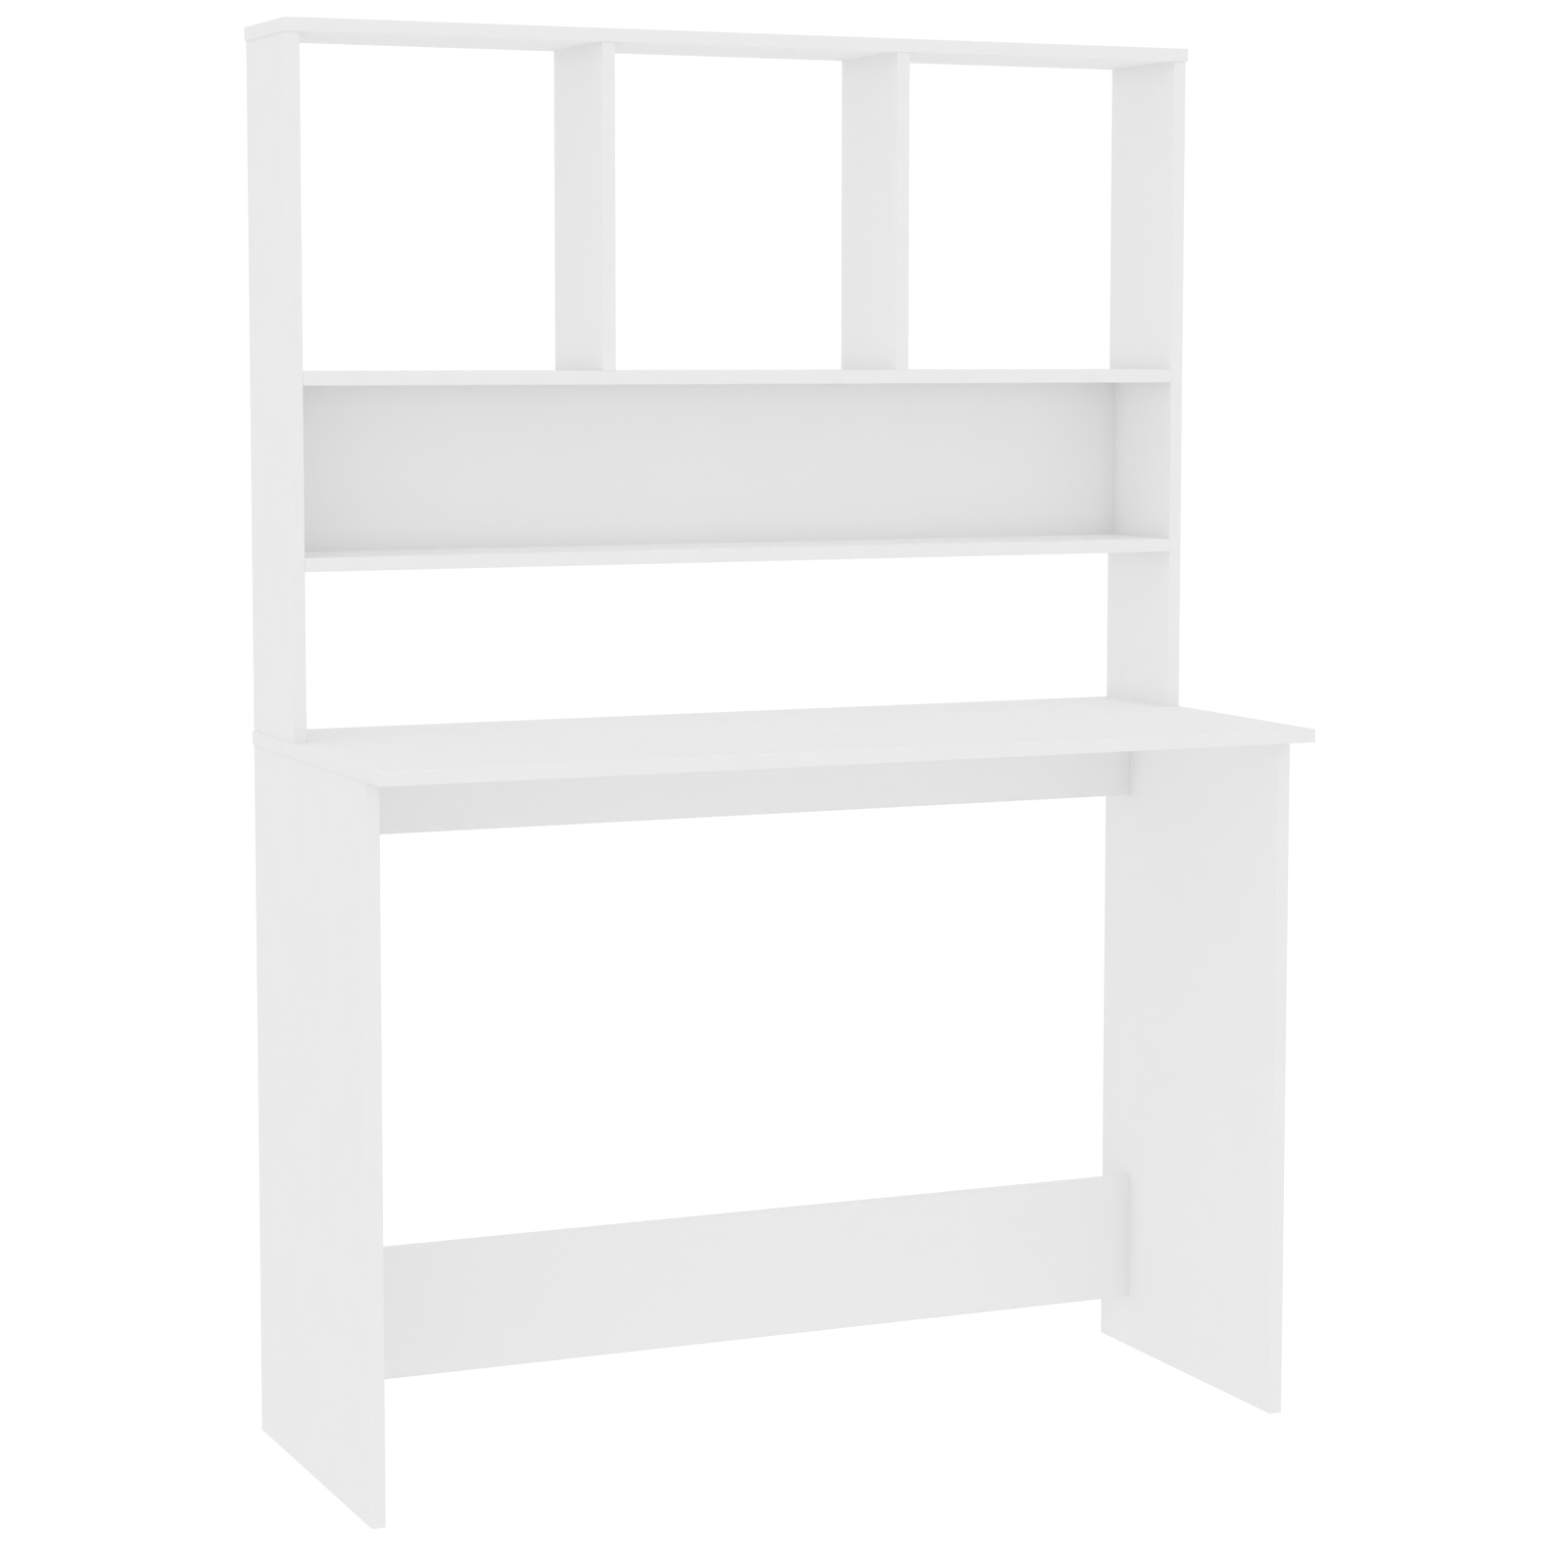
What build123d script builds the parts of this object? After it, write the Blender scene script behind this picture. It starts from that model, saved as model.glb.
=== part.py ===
from build123d import *
import os
from dataclasses import dataclass, field

# A chipboard desk with a hutch that stands on its rear half. Millimetres.
# X runs to the right, Y to the rear and Z up. The origin is on the floor, in the middle of the footprint.

# ---- Driving dimensions -------------------------------------------------------------------------

BOARD = 15.0  # thickness of every board
EDGING = 1.0  # thickness of the plastic edging
EDGING_RADIUS = 0.6  # rounding of the edging's outer corners

OVERALL_WIDTH = 1100.0
OVERALL_DEPTH = 450.0
OVERALL_HEIGHT = 1570.0
SIDE_OVERHANG = 2.0  # desktop and top board past the side panels

DESKTOP_TOP = 795.0
LEG_DEPTH = 400.0
HUTCH_DEPTH = 150.0
TOP_OVERHANG = 2.0  # top board past the front of the hutch

LOWER_SHELF_TOP = 995.0
UPPER_SHELF_TOP = 1195.0
TOP_BAYS = 3

RAIL_HEIGHT = 100.0
RAIL_SETBACK = 48.0  # gap behind the upper rail
STRETCHER_HEIGHT = 149.0
STRETCHER_BOTTOM = 62.0
STRETCHER_SETBACK = 55.0  # gap behind the lower stretcher

# Cam fittings: a bolt screwed into one board, held by a turning cam in the next.
CAM_DISTANCE = 34.0  # cam's centre from the joint
CAM_POCKET_RADIUS = 7.5
CAM_POCKET_DEPTH = 12.4
CAM_RADIUS = 7.4
CAM_BOTTOM = 12.0  # cam's inner end below the board's face
CAM_SINK = 0.2  # cam's outer end below the board's face
BOLT_BORE_RADIUS = 4.0
BOLT_BORE_LENGTH = 30.0
THREAD_LENGTH = 11.0
THREAD_HOLE_RADIUS = 3.0
THREAD_HOLE_DEPTH = 11.4

DOWEL_LENGTH = 29.4
DOWEL_RADIUS = 3.95
DOWEL_HOLE_RADIUS = 4.0
DOWEL_IN_FACE = 10.2  # depth of a dowel's hole in a board's face
DOWEL_IN_EDGE = 19.8  # depth of a dowel's hole in a board's edge

STICKER_RADIUS = 9.0
STICKER_THICKNESS = 0.3

SCREW_LENGTH = 38.0
SCREW_RADIUS = 1.85
SCREW_HOLE_RADIUS = 1.9
SCREW_HEAD_RADIUS = 3.8
SCREW_HEAD_RIM = 0.4
SCREW_HEAD_DEPTH = 3.0
SCREW_NECK_RADIUS = 1.6
SCREW_HEAD_GAP = 0.2  # between a screw's head and its countersink
SCREW_SINK = 0.1  # a screw's head below the shelf's face

FITTING_INSET = 32.0  # outermost fittings from a board's corner
DOWEL_PITCH = 32.0  # a dowel from the cam beside it on the rail
LEG_FITTING_INSET = 50.0
LEG_REAR_CAM_INSET = 95.0  # clears the upper rail's end
LEG_DOWEL_PITCH = 64.0
RAIL_CAM_X = 200.0
RAIL_DOWEL_X = 400.0
BACK_FITTING_INSET = 46.0
BACK_FITTING_SPACING = 355.0

# ---- Worked-out positions -----------------------------------------------------------------------

HALF_WIDTH = OVERALL_WIDTH / 2
REAR = OVERALL_DEPTH / 2
FRONT = -OVERALL_DEPTH / 2
SIDE_OUTER = HALF_WIDTH - SIDE_OVERHANG
SIDE_INNER = SIDE_OUTER - BOARD
SIDE_MIDDLE = SIDE_OUTER - BOARD / 2
DESKTOP_BOTTOM = DESKTOP_TOP - BOARD
LEG_FRONT = REAR - LEG_DEPTH
HUTCH_FRONT = REAR - HUTCH_DEPTH
HUTCH_TOP = OVERALL_HEIGHT - BOARD
LOWER_SHELF_BOTTOM = LOWER_SHELF_TOP - BOARD
UPPER_SHELF_BOTTOM = UPPER_SHELF_TOP - BOARD
RAIL_REAR = REAR - RAIL_SETBACK
STRETCHER_REAR = REAR - STRETCHER_SETBACK
STRETCHER_TOP = STRETCHER_BOTTOM + STRETCHER_HEIGHT
BAY_WIDTH = (2 * SIDE_INNER - (TOP_BAYS - 1) * BOARD) / TOP_BAYS
DIVIDER_X = (BAY_WIDTH + BOARD) / 2

RIGHT = Vector(1, 0, 0)
REARWARD = Vector(0, 1, 0)
UP = Vector(0, 0, 1)
DOWN = Vector(0, 0, -1)


# ---- Boards and their edging --------------------------------------------------------------------

AXES = (Axis.X, Axis.Y, Axis.Z)

# An edge is named by the axis it faces along (0 for X, 1 for Y, 2 for Z) and the side it is on.
LEFT_EDGE, RIGHT_EDGE = (0, -1), (0, 1)
FRONT_EDGE, REAR_EDGE = (1, -1), (1, 1)
BOTTOM_EDGE, TOP_EDGE = (2, -1), (2, 1)
ALL_ROUND = (FRONT_EDGE, REAR_EDGE, LEFT_EDGE, RIGHT_EDGE)
FRONT_AND_REAR = (FRONT_EDGE, REAR_EDGE)


@dataclass
class Board:
    """A rectangular board between two corners, with the edges that carry edging, in gluing order."""

    low: tuple
    high: tuple
    edged: tuple = ()
    cuts: list = field(default_factory=list)

    def core(self):
        """The chipboard, inside its edging and with every hole cut."""
        low, high = self.core_corners()
        block = block_between(low, high)
        return block - self.cuts if self.cuts else block

    def core_corners(self):
        low, high = list(self.low), list(self.high)
        for axis, sign in self.edged:
            shrink(low, high, axis, sign)
        return low, high

    def edging(self):
        """One strip for each edged side. Strips glued on later run between the earlier ones."""
        low, high = list(self.low), list(self.high)
        axes = {axis for axis, _ in self.edged}
        strips = []
        for axis, sign in self.edged:
            strip_low, strip_high = list(low), list(high)
            if sign < 0:
                strip_high[axis] = low[axis] + EDGING
            else:
                strip_low[axis] = high[axis] - EDGING
            shrink(low, high, axis, sign)
            open_ends = len(axes) > 1 and (axis, sign) in self.edged[:2]
            strips.append(rounded_strip(strip_low, strip_high, axis, sign, open_ends))
        return strips


def block_between(low, high):
    """A box from its lowest to its highest corner."""
    size = [b - a for a, b in zip(low, high)]
    return Pos(*low) * Box(*size, align=(Align.MIN, Align.MIN, Align.MIN))


def shrink(low, high, axis, sign):
    """Takes one edging's thickness off a side of the box."""
    if sign < 0:
        low[axis] += EDGING
    else:
        high[axis] -= EDGING


def rounded_strip(low, high, axis, sign, open_ends):
    """A strip of edging with its outer long corners rounded, and its end corners too if they show."""
    strip = block_between(low, high)
    outer = strip.faces().sort_by(AXES[axis])[-1 if sign > 0 else 0]
    lengths = [b - a for a, b in zip(low, high)]
    along = AXES[lengths.index(max(lengths))]
    corners = outer.edges() if open_ends else outer.edges().filter_by(along)
    return fillet(corners, EDGING_RADIUS)


def side_panel(side, front, bottom, top):
    """An upright side panel. side is -1 on the left and 1 on the right."""
    x = sorted((side * SIDE_INNER, side * SIDE_OUTER))
    return Board((x[0], front, bottom), (x[1], REAR, top), FRONT_AND_REAR)


def shelf(top):
    """A hutch shelf, which runs between the side panels."""
    return Board((-SIDE_INNER, HUTCH_FRONT, top - BOARD), (SIDE_INNER, REAR, top), FRONT_AND_REAR)


def divider(x):
    """An upright between the upper shelf and the top board, centred on x."""
    return Board(
        (x - BOARD / 2, HUTCH_FRONT, UPPER_SHELF_TOP),
        (x + BOARD / 2, REAR, HUTCH_TOP),
        FRONT_AND_REAR,
    )


def cross_board(rear, bottom, top, edged):
    """An upright board across the desk between the side panels."""
    return Board((-SIDE_INNER, rear - BOARD, bottom), (SIDE_INNER, rear, top), edged)


BOARDS = {
    "desktop": Board(
        (-HALF_WIDTH, FRONT, DESKTOP_BOTTOM),
        (HALF_WIDTH, REAR, DESKTOP_TOP),
        ALL_ROUND,
    ),
    "leg_panel_left": side_panel(-1, LEG_FRONT, 0, DESKTOP_BOTTOM),
    "leg_panel_right": side_panel(1, LEG_FRONT, 0, DESKTOP_BOTTOM),
    "upper_rail": cross_board(
        RAIL_REAR,
        DESKTOP_BOTTOM - RAIL_HEIGHT,
        DESKTOP_BOTTOM,
        (BOTTOM_EDGE,),
    ),
    "lower_stretcher": cross_board(
        STRETCHER_REAR,
        STRETCHER_BOTTOM,
        STRETCHER_TOP,
        (TOP_EDGE, BOTTOM_EDGE),
    ),
    "hutch_side_left": side_panel(-1, HUTCH_FRONT, DESKTOP_TOP, HUTCH_TOP),
    "hutch_side_right": side_panel(1, HUTCH_FRONT, DESKTOP_TOP, HUTCH_TOP),
    "lower_shelf": shelf(LOWER_SHELF_TOP),
    "compartment_back": cross_board(REAR, LOWER_SHELF_TOP, UPPER_SHELF_BOTTOM, ()),
    "upper_shelf": shelf(UPPER_SHELF_TOP),
    "divider_left": divider(-DIVIDER_X),
    "divider_right": divider(DIVIDER_X),
    "top_board": Board(
        (-HALF_WIDTH, HUTCH_FRONT - TOP_OVERHANG, HUTCH_TOP),
        (HALF_WIDTH, REAR, OVERALL_HEIGHT),
        ALL_ROUND,
    ),
}


# ---- Fittings -----------------------------------------------------------------------------------
# A bolt and a dowel are drawn along +Z, with Z = 0 at the joint between the two boards and +Z going
# into the board that takes the bolt. A cam is drawn in the board's face, with +Z out of the face and
# +X towards the joint.

INTO_FACE = (Align.CENTER, Align.CENTER, Align.MAX)
OFF_FACE = (Align.CENTER, Align.CENTER, Align.MIN)


def revolved(profile):
    """A solid turned about Z from an outline of (radius, height) points."""
    outline = Polyline(*[(radius, 0, height) for radius, height in profile], close=True)
    return revolve(make_face(outline), Axis.Z)


def make_bolt():
    """A steel cam bolt: coarse thread, collar, shank, thin neck and a flat round head."""
    root, crest = 2.4, THREAD_HOLE_RADIUS - 0.05
    collar, shank, neck, head = 3.9, 3.0, 2.0, 3.4
    ridges = 4
    pitch = (THREAD_LENGTH - 2) / ridges
    profile = [(0, THREAD_LENGTH), (1.4, THREAD_LENGTH)]
    for i in range(ridges):
        top = THREAD_LENGTH - 1 - i * pitch
        profile += [(root, top), (crest, top - pitch * 0.35), (crest, top - pitch * 0.5)]
    profile += [(root, 0), (collar, 0), (collar, -2), (shank, -2.6), (shank, -23)]
    profile += [(neck, -24), (neck, -31), (head, -31.6), (head, -35), (2.6, -36), (0, -36)]
    return revolved(profile)


def make_dowel():
    """A beech dowel with chamfered ends and shallow glue grooves along it."""
    bar = chamfer(Cylinder(DOWEL_RADIUS, DOWEL_LENGTH).edges().filter_by(GeomType.CIRCLE), 0.9)
    groove = Cylinder(0.35, DOWEL_LENGTH - 2)
    grooves = [around * groove for around in PolarLocations(DOWEL_RADIUS, 8)]
    middle = (DOWEL_IN_FACE - DOWEL_IN_EDGE) / 2
    return Pos(0, 0, middle) * (bar - grooves)


def cross(length, width, depth, align):
    """Two crossed bars, as the driver's recess takes them out of a head."""
    bar = Box(length, width, depth, align=align)
    return bar + Rot(0, 0, 90) * bar


def make_cam():
    """A die-cast cam: a drum with a cavity for the bolt's head, a slot for its neck and a cross recess.

    A small sunk arrow on its outer end points to the cavity's mouth.
    """
    head_gap, neck_gap, cavity_radius = 7.4, 4.6, 4.9
    axis_height = -BOARD / 2
    drum = Pos(0, 0, -CAM_SINK) * Cylinder(CAM_RADIUS, CAM_BOTTOM - CAM_SINK, align=INTO_FACE)
    drum = chamfer(drum.edges().filter_by(GeomType.CIRCLE), 0.3)
    cavity = Pos(0, 0, axis_height) * Cylinder(cavity_radius, head_gap)
    neck_slot = Pos(0, CAM_RADIUS / 2, axis_height) * Box(2.4 * CAM_RADIUS, CAM_RADIUS + neck_gap, neck_gap)
    mouth = Pos(-CAM_RADIUS / 2, 0, axis_height) * Box(1.2 * CAM_RADIUS, head_gap, head_gap)
    recess = Pos(0, 0, -CAM_SINK) * cross(8.4, 1.5, 2.0, INTO_FACE)
    arrow_outline = Polyline((-6.5, 0), (-4.9, 1.1), (-4.9, -1.1), close=True)
    arrow = Pos(0, 0, -CAM_SINK) * extrude(make_face(arrow_outline), 0.4, dir=(0, 0, -1))
    return drum - cavity - neck_slot - mouth - recess - arrow


def make_sticker():
    """A round self-adhesive cover over a cam."""
    return Cylinder(STICKER_RADIUS, STICKER_THICKNESS, align=OFF_FACE)


def make_screw():
    """A countersunk wood screw, drawn from its head at Z = 0 up to its point."""
    root, thread_start, point = 1.2, 14.0, 4.0
    ridges = 8
    pitch = (SCREW_LENGTH - point - thread_start) / ridges
    profile = [(0, 0), (SCREW_HEAD_RADIUS, 0), (SCREW_HEAD_RADIUS, SCREW_HEAD_RIM)]
    profile += [(SCREW_NECK_RADIUS, SCREW_HEAD_DEPTH), (SCREW_NECK_RADIUS, thread_start)]
    for i in range(ridges):
        bottom = thread_start + i * pitch
        profile += [(root, bottom + pitch * 0.4), (SCREW_RADIUS, bottom + pitch * 0.7)]
    profile += [(root, SCREW_LENGTH - point), (0, SCREW_LENGTH)]
    return revolved(profile) - cross(4.4, 1.0, 1.6, OFF_FACE)


FITTING_KINDS = ("cam_bolts", "cam_locks", "dowels", "cover_stickers")
HARDWARE = {f"{kind}_{place}": [] for kind in FITTING_KINDS for place in ("base", "hutch")}
HARDWARE["back_panel_screws"] = []
BASE_BOARDS = ("leg_panel_left", "leg_panel_right", "upper_rail", "lower_stretcher")
BOLT, DOWEL, CAM, STICKER, SCREW = make_bolt(), make_dowel(), make_cam(), make_sticker(), make_screw()


def hole(radius, depth, frame):
    """A plain round hole from the frame's origin along its +Z, started just above the surface."""
    above = 0.5
    return frame * Pos(0, 0, -above) * Cylinder(radius, depth + above, align=OFF_FACE)


def join(holder, receiver, drive, cam_face, cams=(), dowels=(), covered=False):
    """Joins the holder's edge to the receiver's face, with cam fittings and dowels at the given points.

    drive points from the holder into the receiver, and cam_face out of the face that the cams sit in.
    """
    place = "base" if holder in BASE_BOARDS else "hutch"
    holder_cuts, receiver_cuts = BOARDS[holder].cuts, BOARDS[receiver].cuts
    for point in (*cams, *dowels):
        inwards = Plane(point, x_dir=cam_face, z_dir=drive).location
        backwards = Plane(point, x_dir=cam_face, z_dir=drive * -1).location
        if point in dowels:
            receiver_cuts.append(hole(DOWEL_HOLE_RADIUS, DOWEL_IN_FACE, inwards))
            holder_cuts.append(hole(DOWEL_HOLE_RADIUS, DOWEL_IN_EDGE, backwards))
            HARDWARE[f"dowels_{place}"].append(inwards * DOWEL)
            continue
        centre = point - drive * CAM_DISTANCE + cam_face * (BOARD / 2)
        on_face = Plane(centre, x_dir=drive, z_dir=cam_face).location
        under_face = Plane(centre, x_dir=drive, z_dir=cam_face * -1).location
        receiver_cuts.append(hole(THREAD_HOLE_RADIUS, THREAD_HOLE_DEPTH, inwards))
        holder_cuts.append(hole(BOLT_BORE_RADIUS, BOLT_BORE_LENGTH, backwards))
        holder_cuts.append(hole(CAM_POCKET_RADIUS, CAM_POCKET_DEPTH, under_face))
        HARDWARE[f"cam_bolts_{place}"].append(inwards * BOLT)
        HARDWARE[f"cam_locks_{place}"].append(on_face * CAM)
        if covered:
            HARDWARE[f"cover_stickers_{place}"].append(on_face * STICKER)


def front_to_rear(x, z, depths):
    """Points in a line across a board's depth."""
    return [Vector(x, y, z) for y in depths]


def upwards(x, y, heights):
    """Points in a line up a board."""
    return [Vector(x, y, z) for z in heights]


def left_to_right(y, z, places):
    """Points in a line along a board."""
    return [Vector(x, y, z) for x in places]


def join_base(side, name):
    """Joins one leg panel to the desktop, the upper rail and the lower stretcher."""
    leg = f"leg_panel_{name}"
    outward, inward = RIGHT * side, RIGHT * -side
    x, middle = side * SIDE_INNER, side * SIDE_MIDDLE

    front_cam, rear_cam = LEG_FRONT + LEG_FITTING_INSET, REAR - LEG_REAR_CAM_INSET
    cams = front_to_rear(middle, DESKTOP_BOTTOM, (front_cam, rear_cam))
    dowels = front_to_rear(middle, DESKTOP_BOTTOM, (front_cam + LEG_DOWEL_PITCH, rear_cam - LEG_DOWEL_PITCH))
    join(leg, "desktop", UP, inward, cams, dowels, covered=True)

    y, z = RAIL_REAR - BOARD / 2, DESKTOP_BOTTOM - RAIL_HEIGHT / 2
    dowels = upwards(x, y, (z - DOWEL_PITCH, z + DOWEL_PITCH))
    join("upper_rail", leg, outward, REARWARD, upwards(x, y, (z,)), dowels)

    y, z = STRETCHER_REAR - BOARD / 2, (STRETCHER_BOTTOM + STRETCHER_TOP) / 2
    cams = upwards(x, y, (STRETCHER_BOTTOM + FITTING_INSET, STRETCHER_TOP - FITTING_INSET))
    join("lower_stretcher", leg, outward, REARWARD, cams, upwards(x, y, (z,)))


def join_hutch(side, name):
    """Joins one hutch side to the desktop, top board, shelves and back, and one divider to its boards."""
    hutch_side, upright = f"hutch_side_{name}", f"divider_{name}"
    outward, inward = RIGHT * side, RIGHT * -side
    x, middle = side * SIDE_INNER, side * SIDE_MIDDLE
    cams = (HUTCH_FRONT + FITTING_INSET, REAR - FITTING_INSET)
    dowels = (REAR - HUTCH_DEPTH / 2,)

    for drive, board, z in ((DOWN, "desktop", DESKTOP_TOP), (UP, "top_board", HUTCH_TOP)):
        rows = front_to_rear(middle, z, cams), front_to_rear(middle, z, dowels)
        join(hutch_side, board, drive, inward, *rows, covered=True)
    for drive, board, z in ((DOWN, "upper_shelf", UPPER_SHELF_TOP), (UP, "top_board", HUTCH_TOP)):
        rows = front_to_rear(side * DIVIDER_X, z, cams), front_to_rear(side * DIVIDER_X, z, dowels)
        join(upright, board, drive, RIGHT, *rows, covered=True)
    for board, top in (("lower_shelf", LOWER_SHELF_TOP), ("upper_shelf", UPPER_SHELF_TOP)):
        z = top - BOARD / 2
        join(board, hutch_side, outward, DOWN, front_to_rear(x, z, cams), front_to_rear(x, z, dowels))

    y, z = REAR - BOARD / 2, (LOWER_SHELF_TOP + UPPER_SHELF_BOTTOM) / 2
    cams = upwards(x, y, (LOWER_SHELF_TOP + BACK_FITTING_INSET, UPPER_SHELF_BOTTOM - BACK_FITTING_INSET))
    join("compartment_back", hutch_side, outward, REARWARD, cams, upwards(x, y, (z,)))


def join_long_boards():
    """Joins the upper rail to the desktop above it, and the compartment's back to both shelves."""
    y = RAIL_REAR - BOARD / 2
    cams = left_to_right(y, DESKTOP_BOTTOM, (-RAIL_CAM_X, RAIL_CAM_X))
    dowels = left_to_right(y, DESKTOP_BOTTOM, (-RAIL_DOWEL_X, RAIL_DOWEL_X))
    join("upper_rail", "desktop", UP, REARWARD, cams, dowels)

    y, places = REAR - BOARD / 2, (-BACK_FITTING_SPACING, 0, BACK_FITTING_SPACING)
    dowels = left_to_right(y, UPPER_SHELF_BOTTOM, places)
    join("compartment_back", "upper_shelf", UP, REARWARD, dowels=dowels)

    mouth, throat = SCREW_HEAD_RADIUS + SCREW_HEAD_GAP, SCREW_NECK_RADIUS + SCREW_HEAD_GAP
    rim, depth = SCREW_HEAD_RIM + SCREW_HEAD_GAP, SCREW_HEAD_DEPTH + SCREW_HEAD_GAP
    countersink = revolved([(0, -rim), (mouth, -rim), (mouth, rim), (throat, depth), (0, depth)])
    for x in places:
        frame = Pos(x, y, LOWER_SHELF_BOTTOM)
        pilot = hole(SCREW_HOLE_RADIUS, SCREW_LENGTH + 1, frame)
        BOARDS["lower_shelf"].cuts += [pilot, frame * countersink]
        BOARDS["compartment_back"].cuts.append(pilot)
        HARDWARE["back_panel_screws"].append(frame * Pos(0, 0, SCREW_SINK) * SCREW)


# ---- Writing the nodes --------------------------------------------------------------------------


def write(name, solids):
    """Writes one node's solids to its own STEP file."""
    pieces = [solid for part in solids for solid in part.solids()]
    export_step(Compound(label=name, children=pieces), f"parts/{name}.step")


os.makedirs("parts", exist_ok=True)
for side, name in ((-1, "left"), (1, "right")):
    join_base(side, name)
    join_hutch(side, name)
join_long_boards()

for name, board in BOARDS.items():
    write(name, [board.core()])
    if board.edged:
        write(f"{name}_edging", board.edging())
for name, solids in HARDWARE.items():
    write(name, solids)
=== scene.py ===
import math
import random

import bmesh
import bpy
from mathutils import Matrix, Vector


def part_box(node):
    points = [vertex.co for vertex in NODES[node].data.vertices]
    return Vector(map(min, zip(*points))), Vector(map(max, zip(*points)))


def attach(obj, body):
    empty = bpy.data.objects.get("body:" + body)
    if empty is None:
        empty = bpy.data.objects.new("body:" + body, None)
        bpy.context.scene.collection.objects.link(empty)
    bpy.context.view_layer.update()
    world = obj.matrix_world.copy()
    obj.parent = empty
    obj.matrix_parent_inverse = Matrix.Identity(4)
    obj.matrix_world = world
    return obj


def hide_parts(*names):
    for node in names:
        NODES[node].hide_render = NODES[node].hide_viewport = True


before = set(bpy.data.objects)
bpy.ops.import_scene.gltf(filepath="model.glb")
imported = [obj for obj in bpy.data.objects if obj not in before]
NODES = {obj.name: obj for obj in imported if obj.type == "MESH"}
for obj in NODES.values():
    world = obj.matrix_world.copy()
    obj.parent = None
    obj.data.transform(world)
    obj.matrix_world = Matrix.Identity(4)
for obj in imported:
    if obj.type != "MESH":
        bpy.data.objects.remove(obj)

# A white chipboard desk with a hutch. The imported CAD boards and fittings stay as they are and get
# procedural finishes. The plastic edging and the round cover films are rebuilt here in finer detail.
# Metres, in the row frame: X to the right, Y to the rear, Z up.

MM = 0.001
X, Y, Z = 0, 1, 2
TOUCH = 0.1 * MM  # surfaces closer than this count as touching
WELD = 1e-6  # points closer than this are one point
ORDER_DIGITS = 5  # places are put in order to a hundredth of a millimetre
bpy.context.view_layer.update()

# Each board, with the axis that its thickness lies along.
BOARDS = {
    "desktop": Z,
    "leg_panel_left": X,
    "leg_panel_right": X,
    "upper_rail": Y,
    "lower_stretcher": Y,
    "hutch_side_left": X,
    "hutch_side_right": X,
    "lower_shelf": Z,
    "upper_shelf": Z,
    "compartment_back": Y,
    "divider_left": X,
    "divider_right": X,
    "top_board": Z,
}
PLACES = ("base", "hutch")  # the fittings of each share a node

# ---- Node materials -----------------------------------------------------------------------------

# A Mix node's sockets go by number, because its numbers and colours share their sockets' names.
MIX_INPUTS = {"FLOAT": (0, 2, 3), "RGBA": (0, 6, 7)}
MIX_OUTPUT = {"FLOAT": 0, "RGBA": 2}

# Painted shade: the finishes darken their own colour in inner corners, where another surface stands close.
CORNER_REACH = 28 * MM  # how near another surface has to be for a corner's shade
CORNER_SHADE = 0.095  # the share of its colour that a closed-in corner loses
CORNER_SAMPLES = 8

NOISE_LOW, NOISE_HIGH = 0.3, 0.7  # nearly all of a noise lies between these


def grey(value, warmth=0.0):
    """A neutral colour, or a slightly warm one."""
    return (value * (1 + warmth), value, value * (1 - warmth), 1.0)


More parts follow.
